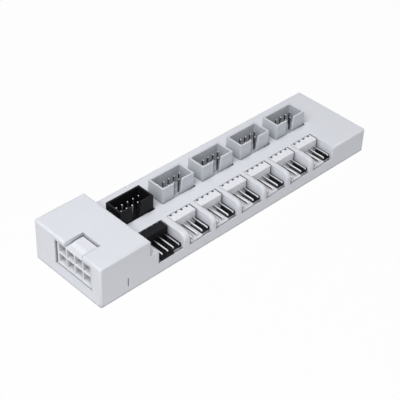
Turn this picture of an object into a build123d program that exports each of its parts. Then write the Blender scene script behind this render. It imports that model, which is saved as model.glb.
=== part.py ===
from build123d import *
import os

# Fan controller hub, in millimetres. X runs along the bar from the power end (-X) to the plain
# end (+X), the fan headers face -Y, Z is up, and the origin lies under the middle of the bar.

# Casing
block_length = 21.6
end_cap = 16.1
rail = 8.75
walkway = 6.15
wall = 1.6
roof = 1.6
block_roof = 2.0
corner_radius = 0.8
edge_radius = 0.7
corner_margin = 0.1
clip_slit_width = 0.4
clip_slit_height = 3.5
clip_slit_depth = 0.35
clip_slit_from_end = 11.8
clip_slit_base = 2.7

# Base tray with its snap beads and board posts
base_thickness = 1.2
fit_gap = 0.15
bead_radius = 0.35
bead_length = 8.0
bead_inset = 22.3
bead_count = 3
post_diameter = 3.0
post_inset = 24.3
post_edge = 2.1
post_count = 4

# Circuit board, with the pin tails that stand out below it
board_thickness = 1.6
board_gap = 0.5
board_corner = 1.0
board_hold_gap = 0.1
tail_length = 0.7
tail_gap = 0.3

# Pins of the data and fan headers
pin_size = 0.64
pin_pitch = 2.54
pin_tip = 0.15

# Rear row of nine-pin box headers, the first of them for data in
rear_start = 2.3
rear_space = 4.4
rear_count = 5
box_columns = 5
box_end = 2.42
box_side = 2.63
box_height = 12.4
box_wall = 0.7
box_floor = 5.0
box_slot_left = 2.3
box_slot_foot = 0.8
box_slot_right = 1.6
box_slot_lip = 1.0
box_slot_reach = 1.7
box_pin_rise = 5.5
box_gap = 0.2
box_end_gap = 0.7
box_relief = 0.4
box_relief_length = 3.4

# Front row of four-pin fan headers, the first of them for the speed signal
fan_count = 6
fan_pins = 4
fan_end = 1.19
fan_depth = 3.7
fan_height = 6.2
fan_leg_gap = 0.4
fan_pin_reach = 7.2
fan_pin_rise = 1.5
fan_notch_width = 1.0
fan_notch_depth = 0.8
fan_notch_drop = 1.0
tab_past_middle = 1.4
tab_reach = 7.5
tab_lift = 0.6
tab_thickness = 0.8
tab_corner = 0.8
tab_mark = 0.7
tab_mark_depth = 0.4
tab_mark_inset = 2.2
tab_mark_place = 1.85

# Pockets around the fan headers
pocket_start = 3.8
pocket_gap = 0.1
pocket_end_gap = 0.6
pocket_back_gap = 0.15
signal_gap = 1.0
signal_rib = 2.8
rib = 2.0
nose_radius = 2.6
rib_lift = 2.0
tab_setback = 0.5
sill_over = 0.05
sill_lip = 0.35
sill_drop = 1.15

# Eight-pin power header and its opening
power_offset = 3.45
power_depth = 13.0
power_lift = 1.0
power_recess = 0.4
power_gap = 0.2
power_sill_gap = 0.3
power_back_gap = 0.8
power_columns = 4
power_side = 0.8
power_rim = 0.8
power_foot = 1.6
cell_pitch = 4.2
cell_row_pitch = 4.3
cell_wall = 0.5
cell_depth = 9.5
cell_key = 0.5
cell_rise = 0.18
power_pin_size = 1.0
power_pin_recess = 2.5
power_leg_gap = 0.7
power_leg_pitch = 2.5
latch_width = 8.4
latch_ramp = 1.5
latch_height = 0.8
latch_from_face = 1.9
latch_back_gap = 0.3
notch_length = 8.0
notch_width = 9.0

# Parts on the board
chip_size = 7.0
chip_height = 0.9
crystal_length = 10.5
crystal_width = 4.6
crystal_height = 3.4
regulator_length = 6.5
regulator_width = 6.0
regulator_height = 1.7
end_part_space = 3.0
capacitor_diameter = 6.3
capacitor_height = 7.7
capacitor_space = 1.7
capacitor_end_space = 2.05

# Levels, from the surface that the hub stands on
board_bottom = base_thickness + tail_length + tail_gap
board_top = board_bottom + board_thickness
tail_end = board_bottom - tail_length
bar_height = board_top + fan_height
sill_height = board_top + tab_lift + sill_over
rib_bottom = board_top + rib_lift
box_floor_z = board_top + box_floor
box_rim_z = board_top + box_height
fan_pin_z = board_top + tab_lift + tab_thickness + fan_pin_rise
power_height = 2 * cell_row_pitch - cell_wall + 2 * power_rim
power_z = board_top + power_lift + power_height / 2
power_top = power_z + power_height / 2
cell_z = power_z + cell_rise
block_height = power_top + power_gap + block_roof

# Lengths of the two header rows, which give the length of the bar
box_length = (box_columns - 1) * pin_pitch + 2 * box_end
fan_length = (fan_pins - 1) * pin_pitch + 2 * fan_end
rear_pitch = box_length + rear_space
pocket_length = fan_length + pocket_gap + pocket_end_gap
signal_pocket = fan_length + signal_gap + pocket_end_gap
rear_row = rear_start + rear_count * rear_pitch - rear_space
front_row = pocket_start + signal_pocket + signal_rib + fan_count * (pocket_length + rib) - rib
length = block_length + max(rear_row, front_row) + end_cap
left_end = -length / 2
right_end = length / 2
block_face = left_end + block_length
row_end = right_end - end_cap
first_pocket = block_face + pocket_start
fan_pocket = first_pocket + signal_pocket + signal_rib
pocket_starts = [first_pocket] + [fan_pocket + i * (pocket_length + rib) for i in range(fan_count)]
pocket_lengths = [signal_pocket] + [pocket_length] * fan_count
pockets_end = pocket_starts[-1] + pocket_length
fan_places = [
    start + size - pocket_end_gap - fan_length / 2
    for start, size in zip(pocket_starts, pocket_lengths)
]
rear_places = [block_face + rear_start + box_length / 2 + i * rear_pitch for i in range(rear_count)]

# Places across the bar, from its front face to its back
box_width = pin_pitch + 2 * box_side
width = tab_setback + tab_reach + fan_depth + walkway + box_width + rail
front_face = -width / 2
fan_front = front_face + tab_setback + tab_reach
fan_back = fan_front + fan_depth
pocket_back = fan_back + pocket_back_gap
rear_y = fan_back + walkway + box_width / 2
inner_length = length - 2 * wall
inner_width = width - 2 * wall

# Power header's place in the end of the block
power_width = power_columns * cell_pitch - cell_wall + 2 * power_side
power_y = -power_offset
power_face = left_end + power_recess
power_back = power_face + power_depth
cell_width = cell_pitch - cell_wall
cell_height = cell_row_pitch - cell_wall
cell_rows = [cell_z - cell_row_pitch / 2, cell_z + cell_row_pitch / 2]
cell_columns = [power_y + (i - (power_columns - 1) / 2) * cell_pitch for i in range(power_columns)]

# Base tray and board
base_length = inner_length - 2 * fit_gap
base_width = inner_width - 2 * fit_gap
bead_pitch = (length - 2 * bead_inset) / (bead_count - 1)
bead_places = [left_end + bead_inset + i * bead_pitch for i in range(bead_count)]
board_length = inner_length - 2 * board_gap
board_width = inner_width - 2 * board_gap
post_pitch = (length - 2 * post_inset) / (post_count - 1)
post_y = board_width / 2 - post_edge

os.makedirs("parts", exist_ok=True)


def write(part, name):
    """Label a finished piece and write it under its own name."""
    part.label = name
    export_step(part, f"parts/{name}.step")


# Top cover: one moulding, a low bar with the tall power block at its end
with BuildPart() as cover:
    with BuildSketch():
        RectangleRounded(length, width, corner_radius)
    extrude(amount=bar_height)
    with BuildSketch(Plane.XY.offset(bar_height)):
        RectangleRounded(length, width, corner_radius)
        with Locations((block_face, 0)):
            Rectangle(length, width, align=(Align.MIN, Align.CENTER), mode=Mode.SUBTRACT)
    extrude(amount=block_height - bar_height)

    # Round top edges, where the radius stays inside the upright corners
    top_radius = min(edge_radius, corner_radius - corner_margin)
    fillet(cover.faces().sort_by(Axis.Z)[-1].edges(), top_radius)
    bar_top = cover.faces().filter_by(Axis.Z).group_by(Axis.Z)[1]
    fillet(bar_top.edges().filter_by(lambda e: e.center().X > block_face + top_radius), top_radius)

    # Hollow from below: the bar over its whole length, and the block above it
    with BuildSketch():
        Rectangle(inner_length, inner_width)
    extrude(amount=bar_height - roof, mode=Mode.SUBTRACT)
    with BuildSketch():
        with Locations((left_end + wall, 0)):
            Rectangle(block_length - 2 * wall, inner_width, align=(Align.MIN, Align.CENTER))
    extrude(amount=block_height - block_roof, mode=Mode.SUBTRACT)

    # Solid band along the front, which the fan pockets divide into ribs
    with BuildSketch(Plane.YZ.offset(first_pocket - wall)):
        with Locations((front_face + wall / 2, rib_bottom)):
            Rectangle(
                pocket_back - front_face - wall / 2,
                bar_height - roof / 2 - rib_bottom,
                align=Align.MIN,
            )
    extrude(amount=pockets_end - first_pocket + 2 * wall)

    # Pockets, open to the board behind a low sill, which slopes down from a thin lip in the front
    for start, size in zip(pocket_starts, pocket_lengths):
        with BuildSketch(Plane.YZ.offset(start)):
            with BuildLine():
                Polyline(
                    (front_face - wall, sill_height),
                    (front_face + sill_lip, sill_height),
                    (front_face + wall, sill_height - sill_drop),
                    (pocket_back, sill_height - sill_drop),
                    (pocket_back, bar_height + wall),
                    (front_face - wall, bar_height + wall),
                    close=True,
                )
            make_face()
        extrude(amount=size, mode=Mode.SUBTRACT)

    # Round noses on the ribs between the pockets
    with BuildSketch(Plane.YZ.offset(first_pocket)):
        with Locations((front_face + nose_radius, bar_height - nose_radius)):
            Rectangle(2 * nose_radius, 2 * nose_radius, align=(Align.MAX, Align.MIN))
            Circle(nose_radius, mode=Mode.SUBTRACT)
    extrude(amount=pockets_end - first_pocket, mode=Mode.SUBTRACT)

    # Openings of the rear row, wider at the +X end of each header, with a relief in front of it
    with BuildSketch(Plane.XY.offset(bar_height)):
        for x in rear_places:
            with Locations((x - box_length / 2 - box_gap, rear_y)):
                Rectangle(
                    box_length + box_gap + box_end_gap,
                    box_width + 2 * box_gap,
                    align=(Align.MIN, Align.CENTER),
                )
            with Locations((x + box_length / 2 + box_end_gap, rear_y - box_width / 2 - box_relief)):
                Rectangle(box_relief_length, box_width, align=(Align.MAX, Align.MIN))
    extrude(amount=-2 * roof, mode=Mode.SUBTRACT)

    # Opening of the power header in the end wall, wider at the back, and the latch notch above it
    with BuildSketch(Plane.YZ.offset(left_end)):
        with Locations((power_y - power_width / 2 - power_gap, power_top + power_gap)):
            Rectangle(
                power_width + power_gap + power_back_gap,
                power_height + power_gap + power_sill_gap,
                align=(Align.MIN, Align.MAX),
            )
    extrude(amount=wall, mode=Mode.SUBTRACT)
    with BuildSketch(Plane.XY.offset(power_z)):
        with Locations((left_end, power_y)):
            Rectangle(notch_length, notch_width, align=(Align.MIN, Align.CENTER))
    extrude(amount=block_height, mode=Mode.SUBTRACT)

    # Clip slit low on the front of the block
    with BuildSketch(Plane.XZ.offset(-front_face)):
        with Locations((left_end + clip_slit_from_end, clip_slit_base)):
            Rectangle(clip_slit_width, clip_slit_height, align=(Align.CENTER, Align.MIN))
    extrude(amount=-clip_slit_depth, mode=Mode.SUBTRACT)

    # Posts under the rail, which hold the board down on the base tray
    with BuildSketch(Plane.XY.offset(board_top + board_hold_gap)):
        with Locations((0, post_y)):
            with GridLocations(post_pitch, 1, post_count, 1):
                Circle(post_diameter / 2)
    extrude(amount=bar_height - roof / 2 - board_top - board_hold_gap)

    # Grooves inside the long walls, which take the beads of the base tray
    for x in bead_places:
        with BuildSketch(Plane.YZ.offset(x - bead_length / 2 - fit_gap)):
            with GridLocations(base_width, 1, 2, 1):
                with Locations((0, base_thickness / 2)):
                    Circle(bead_radius + fit_gap)
        extrude(amount=bead_length + 2 * fit_gap, mode=Mode.SUBTRACT)
write(cover.part, "top_cover")

# Base tray: a plate inside the cover's skirt, with snap beads on its long edges and board posts
with BuildPart() as base:
    with BuildSketch():
        Rectangle(base_length, base_width)
    extrude(amount=base_thickness)
    for x in bead_places:
        with BuildSketch(Plane.YZ.offset(x - bead_length / 2)):
            with GridLocations(base_width, 1, 2, 1):
                with Locations((0, base_thickness / 2)):
                    Circle(bead_radius)
        extrude(amount=bead_length)
    with BuildSketch(Plane.XY.offset(base_thickness)):
        with GridLocations(post_pitch, 2 * post_y, post_count, 2):
            Circle(post_diameter / 2)
    extrude(amount=board_bottom - base_thickness)
write(base.part, "base_tray")


def box_pins(x):
    """Nine straight pins in two rows, with the front row's last place left empty as the key."""
    spots = [
        (x + (column - (box_columns - 1) / 2) * pin_pitch, rear_y + (row - 0.5) * pin_pitch)
        for row in range(2)
        for column in range(box_columns)
        if (row, column) != (0, box_columns - 1)
    ]
    with BuildPart() as pins:
        with BuildSketch(Plane.XY.offset(tail_end)):
            with Locations(*spots):
                Rectangle(pin_size, pin_size)
        extrude(amount=box_floor_z + box_pin_rise - tail_end)
        chamfer(pins.faces().group_by(Axis.Z)[-1].edges(), pin_tip)
    return pins.part


def box_header(x, pins):
    """Thin-walled open box around the pins, its front wall slotted with one sloping side and lip."""
    with BuildPart() as shroud:
        with BuildSketch(Plane.XY.offset(board_top)):
            with Locations((x, rear_y)):
                Rectangle(box_length, box_width)
        extrude(amount=box_height)
        with BuildSketch(Plane.XY.offset(box_floor_z)):
            with Locations((x, rear_y)):
                Rectangle(box_length - 2 * box_wall, box_width - 2 * box_wall)
        extrude(amount=box_height, mode=Mode.SUBTRACT)
        with BuildSketch(Plane.XZ.offset(box_width / 2 - rear_y)):
            with BuildLine():
                Polyline(
                    (x - box_slot_left, box_floor_z),
                    (x + box_slot_foot, box_floor_z),
                    (x + box_slot_right, box_rim_z - box_slot_lip),
                    (x + box_slot_right + box_slot_reach, box_rim_z),
                    (x - box_slot_left, box_rim_z),
                    close=True,
                )
            make_face()
        extrude(amount=-box_wall, mode=Mode.SUBTRACT)
        add(pins, mode=Mode.SUBTRACT)
    return shroud.part


def fan_header_pins(x):
    """Four bent pins: a leg down through the board behind the body, and a run out to the front."""
    half = pin_size / 2
    leg_y = fan_back + fan_leg_gap + half
    tip_y = fan_front - fan_pin_reach
    with BuildPart() as pins:
        for place in range(fan_pins):
            pin_x = x + (place - (fan_pins - 1) / 2) * pin_pitch
            with BuildSketch(Plane.YZ.offset(pin_x - half)):
                with BuildLine():
                    Polyline(
                        (tip_y, fan_pin_z - half),
                        (leg_y - half, fan_pin_z - half),
                        (leg_y - half, tail_end),
                        (leg_y + half, tail_end),
                        (leg_y + half, fan_pin_z + half),
                        (tip_y, fan_pin_z + half),
                        close=True,
                    )
                make_face()
            extrude(amount=pin_size)
        chamfer(pins.faces().group_by(Axis.Y)[0].edges(), pin_tip)
    return pins.part


def fan_header(x, pins):
    """Block flush with the cover's top, notched behind each pin, with a marked polarising tab in front."""
    with BuildPart() as body:
        with BuildSketch(Plane.XY.offset(board_top)):
            with Locations((x, fan_back)):
                Rectangle(fan_length, fan_depth, align=(Align.CENTER, Align.MAX))
        extrude(amount=fan_height)
        with BuildSketch(Plane.XY.offset(board_top + tab_lift)):
            with Locations((x - fan_length / 2, fan_front)):
                Rectangle(fan_length / 2 + tab_past_middle, tab_reach, align=(Align.MIN, Align.MAX))
            with Locations((x - fan_length / 2, fan_front - tab_reach)):
                Rectangle(tab_corner, tab_corner, align=Align.MIN, mode=Mode.SUBTRACT)
        extrude(amount=tab_thickness)
        with BuildSketch(Plane.XY.offset(board_top + tab_lift + tab_thickness)):
            with Locations((x - tab_mark_place, fan_front - tab_reach + tab_mark_inset)):
                Rectangle(tab_mark, tab_mark)
        extrude(amount=-tab_mark_depth, mode=Mode.SUBTRACT)
        with BuildSketch(Plane.XY.offset(bar_height)):
            with Locations((x, fan_back)):
                with GridLocations(pin_pitch, 1, fan_pins, 1):
                    Rectangle(fan_notch_width, 2 * fan_notch_depth)
        extrude(amount=-fan_notch_drop, mode=Mode.SUBTRACT)
        add(pins, mode=Mode.SUBTRACT)
    return body.part


# The two header rows
rear_names = ["data_in"] + [f"data_out_{i}" for i in range(1, rear_count)]
fan_names = ["signal_in"] + [f"fan_out_{i}" for i in range(1, fan_count + 1)]
header_pins = []
for name, x in zip(rear_names, rear_places):
    pins = box_pins(x)
    header_pins.append(pins)
    write(pins, f"{name}_pins")
    write(box_header(x, pins), f"{name}_header")
for name, x in zip(fan_names, fan_places):
    pins = fan_header_pins(x)
    header_pins.append(pins)
    write(pins, f"{name}_pins")
    write(fan_header(x, pins), f"{name}_header")

# Power pins: each row runs back out of the housing, the upper row bending down behind the lower
with BuildPart() as power_pins:
    half = power_pin_size / 2
    tip_x = power_face + power_pin_recess
    for row, run_z in enumerate(cell_rows):
        leg_x = power_back + power_leg_gap + half + row * power_leg_pitch
        for y in cell_columns:
            with BuildSketch(Plane.XZ.offset(-y - half)):
                with BuildLine():
                    Polyline(
                        (tip_x, run_z - half),
                        (leg_x - half, run_z - half),
                        (leg_x - half, tail_end),
                        (leg_x + half, tail_end),
                        (leg_x + half, run_z + half),
                        (tip_x, run_z + half),
                        close=True,
                    )
                make_face()
            extrude(amount=power_pin_size)
write(power_pins.part, "power_pins")

# Power header: a housing of eight cells, every other one keyed, with a latch shelf on its top
with BuildPart() as power:
    with BuildSketch(Plane.YZ.offset(power_face)):
        with Locations((power_y, power_z)):
            Rectangle(power_width, power_height)
    extrude(amount=power_depth)

    # Two feet on the board
    with BuildSketch(Plane.XY.offset(board_top)):
        with Locations((left_end + wall + board_gap, power_y)):
            Rectangle(power_foot, power_width, align=(Align.MIN, Align.CENTER))
        with Locations((power_back, power_y)):
            Rectangle(power_foot, power_width, align=(Align.MAX, Align.CENTER))
    extrude(amount=power_lift)

    # Cells, those in every other place with two cut corners
    with BuildSketch(mode=Mode.PRIVATE) as keyed_cell:
        Rectangle(cell_width, cell_height)
        chamfer(keyed_cell.vertices().group_by(Axis.Y)[-1], cell_key)
    with BuildSketch(Plane.YZ.offset(power_face)):
        for row, z in enumerate(cell_rows):
            for column, y in enumerate(cell_columns):
                with Locations((y, z)):
                    if (row + column) % 2:
                        add(keyed_cell.sketch)
                    else:
                        Rectangle(cell_width, cell_height)
    extrude(amount=cell_depth, mode=Mode.SUBTRACT)

    # Latch shelf in the notch, with a ramp towards the face
    latch_start = power_face + latch_from_face
    latch_end = left_end + notch_length - latch_back_gap
    with BuildSketch(Plane.XZ.offset(latch_width / 2 - power_y)):
        with BuildLine():
            Polyline(
                (latch_start, power_top),
                (latch_end, power_top),
                (latch_end, power_top + latch_height),
                (latch_start + latch_ramp, power_top + latch_height),
                close=True,
            )
        make_face()
    extrude(amount=-latch_width)
    add(power_pins.part, mode=Mode.SUBTRACT)
write(power.part, "power_header")

# Circuit board on the base tray's posts, drilled to fit every pin
with BuildPart() as board:
    with BuildSketch(Plane.XY.offset(board_bottom)):
        RectangleRounded(board_length, board_width, board_corner)
    extrude(amount=board_thickness)
    for pins in header_pins + [power_pins.part]:
        add(pins, mode=Mode.SUBTRACT)
write(board.part, "circuit_board")

# Chip, regulator and crystal, side by side on the board under the plain end of the cover
end_x = (row_end + right_end - wall) / 2
chip_y = front_face + wall + board_gap + end_part_space + chip_size / 2
regulator_y = chip_y + chip_size / 2 + end_part_space + regulator_width / 2
crystal_y = regulator_y + regulator_width / 2 + end_part_space + crystal_width / 2
with BuildPart() as chip:
    with BuildSketch(Plane.XY.offset(board_top)):
        with Locations((end_x, chip_y)):
            Rectangle(chip_size, chip_size)
    extrude(amount=chip_height)
write(chip.part, "hub_chip")

with BuildPart() as regulator:
    with BuildSketch(Plane.XY.offset(board_top)):
        with Locations((end_x, regulator_y)):
            Rectangle(regulator_length, regulator_width)
    extrude(amount=regulator_height)
write(regulator.part, "voltage_regulator")

# The crystal is a flat can with round ends
with BuildPart() as crystal:
    with BuildSketch(Plane.XY.offset(board_top)):
        with Locations((end_x, crystal_y)):
            SlotOverall(crystal_length, crystal_width)
    extrude(amount=crystal_height)
write(crystal.part, "clock_crystal")

# Two bulk capacitors between the power header and the back wall of the block
capacitor_y = (power_y + power_width / 2 + inner_width / 2) / 2
capacitor_x = left_end + wall + capacitor_end_space + capacitor_diameter / 2
capacitor_pitch = capacitor_diameter + capacitor_space
with BuildPart() as capacitors:
    with BuildSketch(Plane.XY.offset(board_top)):
        with Locations((capacitor_x, capacitor_y), (capacitor_x + capacitor_pitch, capacitor_y)):
            Circle(capacitor_diameter / 2)
    extrude(amount=capacitor_height)
write(capacitors.part, "bulk_capacitors")
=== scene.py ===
import math

import bpy
import numpy as np
from mathutils import Matrix, Vector


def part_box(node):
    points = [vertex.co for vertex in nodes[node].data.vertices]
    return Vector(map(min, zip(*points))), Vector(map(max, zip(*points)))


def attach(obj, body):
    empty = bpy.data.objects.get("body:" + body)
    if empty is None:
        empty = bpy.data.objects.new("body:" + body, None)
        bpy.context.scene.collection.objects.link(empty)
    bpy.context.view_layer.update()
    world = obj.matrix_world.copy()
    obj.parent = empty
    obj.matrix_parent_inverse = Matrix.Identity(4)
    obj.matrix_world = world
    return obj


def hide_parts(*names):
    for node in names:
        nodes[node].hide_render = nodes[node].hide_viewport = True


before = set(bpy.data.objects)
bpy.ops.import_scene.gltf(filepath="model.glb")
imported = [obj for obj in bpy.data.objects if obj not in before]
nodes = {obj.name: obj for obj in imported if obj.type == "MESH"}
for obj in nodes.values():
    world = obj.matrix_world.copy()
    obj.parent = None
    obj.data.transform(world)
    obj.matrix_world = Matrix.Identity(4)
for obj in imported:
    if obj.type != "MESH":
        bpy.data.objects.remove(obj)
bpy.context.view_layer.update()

# Base tray: the plate that closes the hub from below. It is injection moulded in the same
# cool white plastic as the cover, with the fine grain of a spark-eroded mould, and snaps in.
CASING_WHITE = (0.780, 0.799, 0.850, 1.0)
CASING_SHADE = (0.735, 0.754, 0.808, 1.0)
CASING_WORN = (0.800, 0.818, 0.866, 1.0)
GLOSS_SPREAD = 0.06
EDGE_SLICES = 2
EDGE_ANGLE = math.radians(40)
MIX_SHARE, MIX_FIRST, MIX_SECOND, MIX_COLOUR = 0, 6, 7, 2  # sockets of a colour mix


def socket_group(name, inputs, outputs):
    """An empty shader node group with the named value inputs (with defaults) and outputs."""
    group = bpy.data.node_groups.new(name, "ShaderNodeTree")
    for socket, kind, default in inputs:
        made = group.interface.new_socket(socket, in_out="INPUT", socket_type=kind)
        made.default_value = default
    for socket, kind in outputs:
        group.interface.new_socket(socket, in_out="OUTPUT", socket_type=kind)
    return group, group.nodes.new("NodeGroupInput"), group.nodes.new("NodeGroupOutput")


def moulded_grain():
    """Mould texture: a fine noise for height and a broad slow one for tone, on object places."""
    group, given, put = socket_group(
        "moulded grain",
        [
            ("Grain Scale", "NodeSocketFloat", 3200.0),
            ("Mottle Scale", "NodeSocketFloat", 70.0),
        ],
        [("Height", "NodeSocketFloat"), ("Tone", "NodeSocketFloat")],
    )
    place = group.nodes.new("ShaderNodeTexCoord")
    grain = group.nodes.new("ShaderNodeTexNoise")
    grain.inputs["Detail"].default_value = 3.0
    grain.inputs["Roughness"].default_value = 0.6
    mottle = group.nodes.new("ShaderNodeTexNoise")
    mottle.inputs["Detail"].default_value = 4.0
    mottle.inputs["Roughness"].default_value = 0.55
    link = group.links.new
    link(place.outputs["Object"], grain.inputs["Vector"])
    link(place.outputs["Object"], mottle.inputs["Vector"])
    link(given.outputs["Grain Scale"], grain.inputs["Scale"])
    link(given.outputs["Mottle Scale"], mottle.inputs["Scale"])
    link(grain.outputs["Fac"], put.inputs["Height"])
    link(mottle.outputs["Fac"], put.inputs["Tone"])
    return group


def edge_wear_and_highlight():
    """Scuffed edges and painted highlight: the normal rounded over a small radius, and a mask of
    how far it turns, broken by noise. The share for sides thins the mask on faces that do not look
    up;
    where that share is small, the mask is a painted highlight on rims that face up."""
    group, given, put = socket_group(
        "edge wear and highlight",
        [
            ("Radius", "NodeSocketFloat", 0.0004),
            ("Break Scale", "NodeSocketFloat", 900.0),
            ("Amount", "NodeSocketFloat", 1.0),
            ("Sides", "NodeSocketFloat", 1.0),
        ],
        [("Mask", "NodeSocketFloat"), ("Normal", "NodeSocketVector")],
    )
    place = group.nodes.new("ShaderNodeTexCoord")
    rounded = group.nodes.new("ShaderNodeBevel")
    rounded.samples = 6
    surface = group.nodes.new("ShaderNodeNewGeometry")
    turn = group.nodes.new("ShaderNodeVectorMath")
    turn.operation = "DOT_PRODUCT"
    spread = group.nodes.new("ShaderNodeMapRange")
    spread.inputs["From Min"].default_value = 1.0
    spread.inputs["From Max"].default_value = 0.80
    broken = group.nodes.new("ShaderNodeTexNoise")
    broken.inputs["Detail"].default_value = 2.0
    facing = group.nodes.new("ShaderNodeSeparateXYZ")
    upward = group.nodes.new("ShaderNodeMapRange")
    product, aloft, pale_mask = (group.nodes.new("ShaderNodeMath") for _ in range(3))
    for step in (product, aloft, pale_mask):
        step.operation = "MULTIPLY"
    pale_mask.use_clamp = True
    link = group.links.new
    link(given.outputs["Radius"], rounded.inputs["Radius"])
    link(rounded.outputs["Normal"], turn.inputs[0])
    link(surface.outputs["Normal"], turn.inputs[1])
    link(turn.outputs["Value"], spread.inputs["Value"])
    link(place.outputs["Object"], broken.inputs["Vector"])
    link(given.outputs["Break Scale"], broken.inputs["Scale"])
    link(spread.outputs["Result"], product.inputs[0])
    link(broken.outputs["Fac"], product.inputs[1])
    link(place.outputs["Normal"], facing.inputs["Vector"])
    link(facing.outputs["Z"], upward.inputs["Value"])
    link(given.outputs["Sides"], upward.inputs["To Min"])
    link(product.outputs["Value"], aloft.inputs[0])
    link(upward.outputs["Result"], aloft.inputs[1])
    link(aloft.outputs["Value"], pale_mask.inputs[0])
    link(given.outputs["Amount"], pale_mask.inputs[1])
    link(pale_mask.outputs["Value"], put.inputs["Mask"])
    link(rounded.outputs["Normal"], put.inputs["Normal"])
    return group


def painted_gap_shade():
    """Painted gap shade: one in the open, falling to the darkest as near walls close off the
    sky. How far off a wall still counts is the reach, plus the rise for each metre of height."""
    group, given, put = socket_group(
        "painted gap shade",
        [
            ("Reach", "NodeSocketFloat", 0.0020),
            ("Rise", "NodeSocketFloat", 0.0),
            ("Closed", "NodeSocketFloat", 0.10),
            ("Open", "NodeSocketFloat", 0.70),
            ("Darkest", "NodeSocketFloat", 0.15),
        ],
        [("Shade", "NodeSocketFloat")],
    )
    place = group.nodes.new("ShaderNodeTexCoord")
    height = group.nodes.new("ShaderNodeSeparateXYZ")
    far = group.nodes.new("ShaderNodeMath")
    far.operation = "MULTIPLY_ADD"
    sky = group.nodes.new("ShaderNodeAmbientOcclusion")
    sky.samples = 8
    fall = group.nodes.new("ShaderNodeMapRange")
    link = group.links.new
    link(place.outputs["Object"], height.inputs["Vector"])
    link(height.outputs["Z"], far.inputs[0])
    link(given.outputs["Rise"], far.inputs[1])
    link(given.outputs["Reach"], far.inputs[2])
    link(far.outputs["Value"], sky.inputs["Distance"])
    link(given.outputs["Closed"], fall.inputs["From Min"])
    link(given.outputs["Open"], fall.inputs["From Max"])
    link(given.outputs["Darkest"], fall.inputs["To Min"])
    link(sky.outputs["AO"], fall.inputs["Value"])
    link(fall.outputs["Result"], put.inputs["Shade"])
    return group


GRAIN = moulded_grain()
WEAR_AND_HIGHLIGHT_GROUP = edge_wear_and_highlight()
PAINTED_SHADE_GROUP = painted_gap_shade()


def shaded_in_gaps(tree, colour, gap_shade):
    """The colour of a socket times the painted gap shade with the given values, as a socket."""
    gap = tree.nodes.new("ShaderNodeGroup")
    gap.node_tree = PAINTED_SHADE_GROUP
    for socket, value in gap_shade:
        gap.inputs[socket].default_value = value
    shade_mix = tree.nodes.new("ShaderNodeMix")
    shade_mix.data_type = "RGBA"
    shade_mix.blend_type = "MULTIPLY"
    shade_mix.inputs[MIX_SHARE].default_value = 1.0
    tree.links.new(colour, shade_mix.inputs[MIX_FIRST])
    tree.links.new(gap.outputs["Shade"], shade_mix.inputs[MIX_SECOND])
    return shade_mix.outputs[MIX_COLOUR]


def moulded_plastic(name, colour, shade, worn_and_highlit, roughness, grain_height, rub_and_highlight=(), shine=0.5, gap_shade=()):
    """Moulded plastic: a two-tone mottle, edges paled by scuffing and painted highlight, painted
    shade in gaps, and a fine grain.
    """
    material = bpy.data.materials.new(name)
    material.use_nodes = True
    tree = material.node_tree
    link = tree.links.new
    skin = tree.nodes["Principled BSDF"]
    grain = tree.nodes.new("ShaderNodeGroup")
    grain.node_tree = GRAIN
    pale_edges = tree.nodes.new("ShaderNodeGroup")
    pale_edges.node_tree = WEAR_AND_HIGHLIGHT_GROUP
    for socket, value in rub_and_highlight:
        pale_edges.inputs[socket].default_value = value
    tone = tree.nodes.new("ShaderNodeMix")
    tone.data_type = "RGBA"
    tone.inputs[MIX_FIRST].default_value = shade
    tone.inputs[MIX_SECOND].default_value = colour
    pale = tree.nodes.new("ShaderNodeMix")
    pale.data_type = "RGBA"
    pale.inputs[MIX_SECOND].default_value = worn_and_highlit
    gloss = tree.nodes.new("ShaderNodeMapRange")
    gloss.inputs["To Min"].default_value = roughness - GLOSS_SPREAD
    gloss.inputs["To Max"].default_value = roughness + GLOSS_SPREAD
    bump = tree.nodes.new("ShaderNodeBump")
    bump.inputs["Strength"].default_value = 0.35
    bump.inputs["Distance"].default_value = grain_height
    link(grain.outputs["Tone"], tone.inputs[MIX_SHARE])
    link(tone.outputs[MIX_COLOUR], pale.inputs[MIX_FIRST])
    link(pale_edges.outputs["Mask"], pale.inputs[MIX_SHARE])
    link(shaded_in_gaps(tree, pale.outputs[MIX_COLOUR], gap_shade), skin.inputs["Base Color"])
    link(grain.outputs["Tone"], gloss.inputs["Value"])
    link(gloss.outputs["Result"], skin.inputs["Roughness"])
    link(grain.outputs["Height"], bump.inputs["Height"])
    link(pale_edges.outputs["Normal"], bump.inputs["Normal"])
    link(bump.outputs["Normal"], skin.inputs["Normal"])
    skin.inputs["Specular IOR Level"].default_value = shine
    return material


def finish(piece, material, edge=0.0):
    """Give a piece its finish and, where edge is above zero, a rounding of that size."""
    piece.data.materials.clear()
    piece.data.materials.append(material)
    if edge > 0.0:
        weld = piece.modifiers.new("joined corners", "WELD")
        weld.merge_threshold = 1e-6
        bevel = piece.modifiers.new("edge rounding", "BEVEL")
        bevel.width = edge
        bevel.segments = EDGE_SLICES
        bevel.limit_method = "ANGLE"
        bevel.angle_limit = EDGE_ANGLE
        bevel.use_clamp_overlap = True
        bevel.harden_normals = True


# The casing paints shade where walls close in, reaching further higher up.
casing = moulded_plastic(
    "casing white",
    colour=CASING_WHITE,
    shade=CASING_SHADE,
    worn_and_highlit=CASING_WORN,
    roughness=0.52,
    grain_height=0.00003,
    rub_and_highlight=[("Radius", 0.0008)],
    gap_shade=[("Reach", 0.0015), ("Rise", 0.28), ("Open", 0.80), ("Darkest", 0.25)],
)
finish(nodes["base_tray"], casing)

# Circuit board: glass cloth and resin under a black solder mask, drilled for the pins and routed
# to size, so that its edge is bare. It lies on the tray's posts and shows between the fan pins.
BOARD_BLACK = (0.006, 0.007, 0.009, 1.0)
BOARD_TRACK = (0.014, 0.016, 0.020, 1.0)
BOARD_CORE = (0.70, 0.70, 0.70, 1.0)


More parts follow.
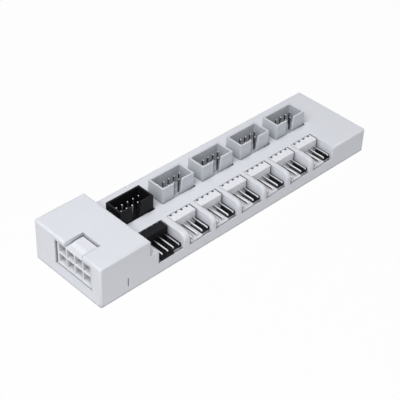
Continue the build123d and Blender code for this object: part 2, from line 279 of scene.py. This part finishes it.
def solder_mask():
    """Board finish: a cloth weave in the height, copper tracks a little paler under the mask, and
    the bare core wherever the normal is level."""
    material = bpy.data.materials.new("black solder mask")
    material.use_nodes = True
    tree = material.node_tree
    link = tree.links.new
    skin = tree.nodes["Principled BSDF"]
    place = tree.nodes.new("ShaderNodeTexCoord")
    weave = tree.nodes.new("ShaderNodeTexWave")
    weave.inputs["Scale"].default_value = 900.0
    weave.inputs["Distortion"].default_value = 0.6
    track = tree.nodes.new("ShaderNodeTexBrick")
    track.inputs["Scale"].default_value = 320.0
    track.inputs["Color1"].default_value = BOARD_BLACK
    track.inputs["Color2"].default_value = BOARD_BLACK
    track.inputs["Mortar"].default_value = BOARD_TRACK
    track.inputs["Mortar Size"].default_value = 0.08
    facing = tree.nodes.new("ShaderNodeSeparateXYZ")
    level = tree.nodes.new("ShaderNodeMath")
    level.operation = "ABSOLUTE"
    bare = tree.nodes.new("ShaderNodeMix")
    bare.data_type = "RGBA"
    bare.inputs[MIX_FIRST].default_value = BOARD_CORE
    bump = tree.nodes.new("ShaderNodeBump")
    bump.inputs["Strength"].default_value = 0.15
    bump.inputs["Distance"].default_value = 0.00002
    link(place.outputs["Object"], weave.inputs["Vector"])
    link(place.outputs["Object"], track.inputs["Vector"])
    link(place.outputs["Normal"], facing.inputs["Vector"])
    link(facing.outputs["Z"], level.inputs[0])
    link(level.outputs["Value"], bare.inputs[MIX_SHARE])
    link(track.outputs["Color"], bare.inputs[MIX_SECOND])
    link(bare.outputs[MIX_COLOUR], skin.inputs["Base Color"])
    link(weave.outputs["Fac"], bump.inputs["Height"])
    link(bump.outputs["Normal"], skin.inputs["Normal"])
    skin.inputs["Roughness"].default_value = 0.45
    return material


finish(nodes["circuit_board"], solder_mask())

# Parts soldered to the board: the hub chip and the regulator in black epoxy, the crystal and the
# capacitors in drawn metal cans. The cover hides them.
POLISH, TARNISH = 0.05, 0.10
epoxy = moulded_plastic(
    "black epoxy",
    colour=(0.030, 0.030, 0.032, 1),
    shade=(0.022, 0.022, 0.024, 1),
    worn_and_highlit=(0.06, 0.06, 0.06, 1),
    roughness=0.6,
    grain_height=0.00004,
)


def tinned_metal(name, colour, dull, roughness, gap_shade):
    """Plated metal: a slow noise dulls it in places and changes its gloss, and painted shade
    darkens it in gaps.
    """
    material = bpy.data.materials.new(name)
    material.use_nodes = True
    tree = material.node_tree
    link = tree.links.new
    skin = tree.nodes["Principled BSDF"]
    grain = tree.nodes.new("ShaderNodeGroup")
    grain.node_tree = GRAIN
    grain.inputs["Grain Scale"].default_value = 5200.0
    grain.inputs["Mottle Scale"].default_value = 420.0
    tone = tree.nodes.new("ShaderNodeMix")
    tone.data_type = "RGBA"
    tone.inputs[MIX_FIRST].default_value = dull
    tone.inputs[MIX_SECOND].default_value = colour
    gloss = tree.nodes.new("ShaderNodeMapRange")
    gloss.inputs["To Min"].default_value = roughness - POLISH
    gloss.inputs["To Max"].default_value = roughness + TARNISH
    bump = tree.nodes.new("ShaderNodeBump")
    bump.inputs["Strength"].default_value = 0.2
    bump.inputs["Distance"].default_value = 0.00001
    link(grain.outputs["Tone"], tone.inputs[MIX_SHARE])
    link(shaded_in_gaps(tree, tone.outputs[MIX_COLOUR], gap_shade), skin.inputs["Base Color"])
    link(grain.outputs["Tone"], gloss.inputs["Value"])
    link(gloss.outputs["Result"], skin.inputs["Roughness"])
    link(grain.outputs["Height"], bump.inputs["Height"])
    link(bump.outputs["Normal"], skin.inputs["Normal"])
    skin.inputs["Metallic"].default_value = 1.0
    return material


# The cans and the epoxy take the default painted shade in gaps.
can = tinned_metal(
    "drawn can",
    colour=(0.80, 0.80, 0.82, 1),
    dull=(0.62, 0.62, 0.64, 1),
    roughness=0.30,
    gap_shade=[],
)
for name, material, slot in (
    ("hub_chip", epoxy, "chip"),
    ("voltage_regulator", epoxy, "chip"),
    ("clock_crystal", can, "can"),
    ("bulk_capacitors", can, "can"),
):
    finish(nodes[name], material)

# Power header: a glassy off-white nylon housing, moulded with eight keyed cells and a latch shelf.
# Bent tinned pins stand in the cells and go down through the board behind it.
POWER_EDGE = 0.00012
TIN = (0.80, 0.80, 0.82, 1)
TIN_DULL = (0.66, 0.66, 0.68, 1)
# Power nylon: near-white edges show scuffing and a painted highlight; painted shade darkens its
# cells.
power_nylon = moulded_plastic(
    "power header nylon",
    colour=(0.785, 0.795, 0.845, 1),
    shade=(0.745, 0.755, 0.805, 1),
    worn_and_highlit=(0.99, 0.99, 1.0, 1),
    roughness=0.38,
    grain_height=0.00002,
    gap_shade=[("Reach", 0.006), ("Closed", 0.05), ("Open", 0.40), ("Darkest", 0.63)],
)
# The tin gets painted shade in gaps.
tin = tinned_metal(
    "tin plate",
    colour=TIN,
    dull=TIN_DULL,
    roughness=0.30,
    gap_shade=[("Reach", 0.003), ("Closed", 0.30), ("Open", 0.85), ("Darkest", 0.20)],
)
finish(nodes["power_header"], power_nylon, POWER_EDGE)
finish(nodes["power_pins"], tin)

# Rear row: open box headers of stiff glass-filled plastic, the first black and the rest light grey,
# each moulded around nine straight tinned pins and soldered to the board. The boxes are built here
# in place of their solids, with the straight slot side of the real ones.
BOX_EDGE = 0.00014
BOX_WALL = 0.0007
BOX_DEPTH = 0.0074
PIN_PITCH = 0.00254
PIN_HALF = 0.00032
PIN_EDGE = 0.00015
PIN_ROUGHNESS = 0.32
# Painted shade: the near-black tone of the pins' faces along X.
PIN_SIDE_SHADE = (0.06, 0.06, 0.07, 1)
SLOT_LEFT = PIN_HALF - PIN_PITCH
SLOT_FOOT = 0.0008
SLOT_HEAD = 0.0018
# Black plastic takes the default painted shade in gaps.
black_plastic = moulded_plastic(
    "black header plastic",
    colour=(0.007, 0.007, 0.010, 1),
    shade=(0.005, 0.005, 0.007, 1),
    worn_and_highlit=(0.04, 0.04, 0.05, 1),
    roughness=0.5,
    grain_height=0.00003,
    shine=0.14,
)
# Grey plastic: a painted highlight on rims that face up, and painted shade inside and low down.
grey_plastic = moulded_plastic(
    "grey header plastic",
    colour=(0.630, 0.655, 0.700, 1),
    shade=(0.590, 0.615, 0.660, 1),
    worn_and_highlit=(0.97, 0.98, 1.0, 1),
    roughness=0.5,
    grain_height=0.00003,
    rub_and_highlight=[("Radius", 0.00034), ("Amount", 5.0), ("Sides", 0.15)],
    gap_shade=[("Reach", 0.005), ("Closed", 0.40), ("Open", 0.85), ("Darkest", 0.66)],
)


def punched_pin(name, colour, dull, side_shade, gap_shade):
    """Pin metal: plated on the rolled faces and the tip. The two faces along X, cut by the punch,
    are darkened with a painted shade."""
    material = tinned_metal(name, colour, dull, PIN_ROUGHNESS, gap_shade)
    tree = material.node_tree
    link = tree.links.new
    skin = tree.nodes["Principled BSDF"]
    rolled = skin.inputs["Base Color"].links[0].from_socket
    place = tree.nodes.new("ShaderNodeTexCoord")
    facing = tree.nodes.new("ShaderNodeSeparateXYZ")
    sideways = tree.nodes.new("ShaderNodeMath")
    sideways.operation = "ABSOLUTE"
    tone = tree.nodes.new("ShaderNodeMix")
    tone.data_type = "RGBA"
    tone.inputs[MIX_SECOND].default_value = side_shade
    link(place.outputs["Normal"], facing.inputs["Vector"])
    link(facing.outputs["X"], sideways.inputs[0])
    link(sideways.outputs["Value"], tone.inputs[MIX_SHARE])
    link(rolled, tone.inputs[MIX_FIRST])
    link(tone.outputs[MIX_COLOUR], skin.inputs["Base Color"])
    return material


def open_box(name):
    """Open box: a grid of cuts along X, Y and Z whose cells are filled in the floor and the walls
    and empty in the cavity, the front slot and the pins' holes. Each filled cell shows the sides
    that no filled cell covers, and the slot's right side leans out from its foot to the rim."""
    low, high = (np.array(corner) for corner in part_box(name))
    middle = (low + high) / 2
    far = high - middle
    columns = PIN_PITCH * np.arange(-2, 3)
    rows = PIN_PITCH * np.array([-0.5, 0.5])
    edges = np.array([-PIN_HALF, PIN_HALF])
    hole_x = np.add.outer(columns, edges).ravel()
    hole_y = np.add.outer(rows, edges).ravel()
    inner = far - BOX_WALL
    cuts_x = np.unique(np.r_[-far[0], -inner[0], hole_x, SLOT_FOOT, inner[0], far[0]])
    cuts_y = np.unique(np.r_[-far[1], -inner[1], hole_y, inner[1], far[1]])
    cuts_z = np.array([-far[2], far[2] - BOX_DEPTH, far[2]])
    cell_x = (cuts_x[1:] + cuts_x[:-1]) / 2
    cell_y = (cuts_y[1:] + cuts_y[:-1]) / 2
    floor, walls = 0, 1
    filled = np.ones((len(cell_x), len(cell_y), 2), bool)
    both = np.logical_and.outer
    cavity = both(abs(cell_x) < inner[0], abs(cell_y) < inner[1])
    slot = both((cell_x > SLOT_LEFT) & (cell_x < SLOT_FOOT), cell_y < -inner[1])
    filled[cavity | slot, walls] = False
    for column in columns:
        for row in rows:
            hole = both(abs(cell_x - column) < PIN_HALF, abs(cell_y - row) < PIN_HALF)
            filled[hole, floor] = column == columns[-1] and row == rows[0]
    places = np.stack(np.meshgrid(cuts_x, cuts_y, cuts_z, indexing="ij"), axis=-1)
    front, rim, across = slice(0, 2), 2, 0
    places[np.isclose(cuts_x, SLOT_FOOT), front, rim, across] = SLOT_HEAD
    number = np.arange(places[..., 0].size).reshape(places.shape[:3])
    padded = np.pad(filled, 1)
    faces = []
    for axis in range(3):
        ahead, side = np.eye(3, dtype=int)[[(axis + 1) % 3, (axis + 2) % 3]]
        for step in (0, 1):
            beside = np.roll(padded, 1 - 2 * step, axis)[1:-1, 1:-1, 1:-1]
            start = np.argwhere(filled & ~beside)
            start[:, axis] += step
            ring = [start, start + ahead, start + ahead + side, start + side]
            faces += np.stack([number[tuple(c.T)] for c in ring[:: 2 * step - 1]], axis=1).tolist()
    used, renumbered = np.unique(faces, return_inverse=True)
    mesh = bpy.data.meshes.new(f"{name} box")
    corners = places.reshape(-1, 3)[used] + middle
    mesh.from_pydata(corners.tolist(), [], renumbered.reshape(-1, 4).tolist())
    piece = bpy.data.objects.new(f"{name}_box", mesh)
    bpy.context.scene.collection.objects.link(piece)
    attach(piece, "root")
    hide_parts(name)
    return piece


# Box pins: painted shade on the faces along X and in gaps.
box_pin = punched_pin("box header pin", TIN, TIN_DULL, PIN_SIDE_SHADE, gap_shade=[("Darkest", 0.8)])
for name in sorted(nodes):
    if name.startswith("data_"):
        first = name.startswith("data_in")
        if name.endswith("_pins"):
            finish(nodes[name], box_pin, PIN_EDGE)
        else:
            box = open_box(name)
            finish(box, black_plastic if first else grey_plastic, BOX_EDGE)

# Front row: fan headers lying in the cover's pockets, the first in black nylon and the rest in
# white, each with a polarising tab under four bent tinned pins.
FAN_EDGE = 0.00010
# White nylon: painted shade in gaps, as on the tab round the pins.
white_nylon = moulded_plastic(
    "white header nylon",
    colour=(0.870, 0.875, 0.930, 1),
    shade=(0.835, 0.840, 0.895, 1),
    worn_and_highlit=(0.870, 0.875, 0.930, 1),
    roughness=0.40,
    grain_height=0.00002,
    gap_shade=[("Reach", 0.004), ("Closed", 0.15), ("Open", 0.88), ("Darkest", 0.45)],
)
# Signal and fan pins: painted shade on the faces along X and in gaps.
signal_pin = punched_pin(
    "signal pin",
    colour=TIN,
    dull=TIN_DULL,
    side_shade=PIN_SIDE_SHADE,
    gap_shade=[("Reach", 0.003), ("Closed", 0.30), ("Open", 0.85), ("Darkest", 0.10)],
)
fan_pin = punched_pin(
    "fan pin",
    colour=(0.93, 0.93, 0.94, 1),
    dull=(0.86, 0.86, 0.88, 1),
    side_shade=(0.24, 0.24, 0.25, 1),
    gap_shade=[("Darkest", 0.75)],
)
for name in sorted(nodes):
    if name.startswith(("signal_", "fan_")):
        first = name.startswith("signal_")
        if name.endswith("_pins"):
            finish(nodes[name], signal_pin if first else fan_pin, PIN_EDGE)
        else:
            finish(nodes[name], black_plastic if first else white_nylon, FAN_EDGE)

# Top cover: one white moulding, bar and power block together, with openings for every header. It
# drops over the board and snaps onto the tray's beads.
COVER_EDGE = 0.00016
# The cover's pocket, rib and notch walls take the casing's painted shade.
finish(nodes["top_cover"], casing, COVER_EDGE)

# Studio: a wide pale floor that looks white in view and still takes the hub's shadow, a white
# world for even light, a large soft key lamp on the side of the power end, and a weak lamp high
# beyond the plain end.
FLOOR_SIZE = 3.0
FLOOR_SHARE = 0.04
FLOOR_GREY = (0.70, 0.70, 0.70, 1.0)
WORLD_LIGHT = 0.20
KEY_PLACE, KEY_SIZE, KEY_POWER = (-0.393, -0.184, 0.612), 0.5, 5.0
TOP_PLACE, TOP_SIZE, TOP_POWER = (0.16, 0.06, 0.45), 0.3, 0.09


def in_view(tree):
    """One for rays from the camera, off gloss or through glass and zero for others, as a socket."""
    rays = tree.nodes.new("ShaderNodeLightPath")
    seen, clear = (tree.nodes.new("ShaderNodeMath") for _ in range(2))
    for step in (seen, clear):
        step.operation = "MAXIMUM"
    link = tree.links.new
    link(rays.outputs["Is Camera Ray"], seen.inputs[0])
    link(rays.outputs["Is Glossy Ray"], seen.inputs[1])
    link(seen.outputs["Value"], clear.inputs[0])
    link(rays.outputs["Is Transmission Ray"], clear.inputs[1])
    return clear.outputs["Value"]


def pale_floor():
    """A square floor under the hub: a small share is lit, and the rest is plain white in view."""
    mesh = bpy.data.meshes.new("floor")
    half = FLOOR_SIZE / 2
    corners = [(-half, -half, 0.0), (half, -half, 0.0), (half, half, 0.0), (-half, half, 0.0)]
    mesh.from_pydata(corners, [], [(0, 1, 2, 3)])
    floor = bpy.data.objects.new("floor", mesh)
    bpy.context.scene.collection.objects.link(floor)
    material = bpy.data.materials.new("pale floor")
    material.use_nodes = True
    tree = material.node_tree
    link = tree.links.new
    matte = tree.nodes["Principled BSDF"]
    matte.inputs["Base Color"].default_value = FLOOR_GREY
    matte.inputs["Roughness"].default_value = 0.9
    white = tree.nodes.new("ShaderNodeEmission")
    share = tree.nodes.new("ShaderNodeMath")
    share.operation = "MULTIPLY"
    share.inputs[1].default_value = 1.0 - FLOOR_SHARE
    mix = tree.nodes.new("ShaderNodeMixShader")
    link(in_view(tree), share.inputs[0])
    link(share.outputs["Value"], mix.inputs[0])
    link(matte.outputs["BSDF"], mix.inputs[1])
    link(white.outputs["Emission"], mix.inputs[2])
    link(mix.outputs["Shader"], tree.nodes["Material Output"].inputs["Surface"])
    mesh.materials.append(material)


def soft_lamp(name, place, size, power):
    """A square area lamp at a place, turned to face the middle of the hub."""
    data = bpy.data.lights.new(name, "AREA")
    data.size = size
    data.energy = power
    lamp = bpy.data.objects.new(name, data)
    lamp.location = place
    lamp.rotation_mode = "QUATERNION"
    lamp.rotation_quaternion = (-Vector(place)).to_track_quat("-Z", "Y")
    bpy.context.scene.collection.objects.link(lamp)


def white_world(strength):
    """An even white world that lights at a given strength and is plain white in view."""
    world = bpy.data.worlds.new("white studio")
    world.use_nodes = True
    tree = world.node_tree
    link = tree.links.new
    light = tree.nodes["Background"]
    light.inputs["Color"].default_value = (1.0, 1.0, 1.0, 1.0)
    light.inputs["Strength"].default_value = strength
    plain = tree.nodes.new("ShaderNodeBackground")
    plain.inputs["Color"].default_value = (1.0, 1.0, 1.0, 1.0)
    mix = tree.nodes.new("ShaderNodeMixShader")
    link(in_view(tree), mix.inputs[0])
    link(light.outputs["Background"], mix.inputs[1])
    link(plain.outputs["Background"], mix.inputs[2])
    link(mix.outputs["Shader"], tree.nodes["World Output"].inputs["Surface"])
    bpy.context.scene.world = world


pale_floor()
white_world(WORLD_LIGHT)
soft_lamp("key", KEY_PLACE, KEY_SIZE, KEY_POWER)
soft_lamp("top", TOP_PLACE, TOP_SIZE, TOP_POWER)

# Camera: a long lens above the power end, turned a little about its own axis. Its place, turn and
# lens come from a fit to the corners in the photo, with the pins' pitches held.
CAMERA_PLACE = Vector((-0.234521, -0.227508, 0.261468))
CAMERA_BACK = Vector((-0.55392, -0.54958, 0.62541)).normalized()
CAMERA_ROLL = math.radians(2.25)
CAMERA_LENS = 102.64

level = CAMERA_BACK.cross(Vector((0.0, 0.0, -1.0))).normalized()
upright = CAMERA_BACK.cross(level)
right = math.cos(CAMERA_ROLL) * level + math.sin(CAMERA_ROLL) * upright
up = math.cos(CAMERA_ROLL) * upright - math.sin(CAMERA_ROLL) * level
lens = bpy.data.cameras.new("camera")
lens.sensor_width = 36.0
lens.lens = CAMERA_LENS
lens.clip_start = 0.01
lens.clip_end = 10.0
camera = bpy.data.objects.new("camera", lens)
turned = Matrix((right, up, CAMERA_BACK)).transposed().to_4x4()
camera.matrix_world = Matrix.Translation(CAMERA_PLACE) @ turned
bpy.context.scene.collection.objects.link(camera)
bpy.context.scene.camera = camera
bpy.context.scene.view_settings.view_transform = "Standard"
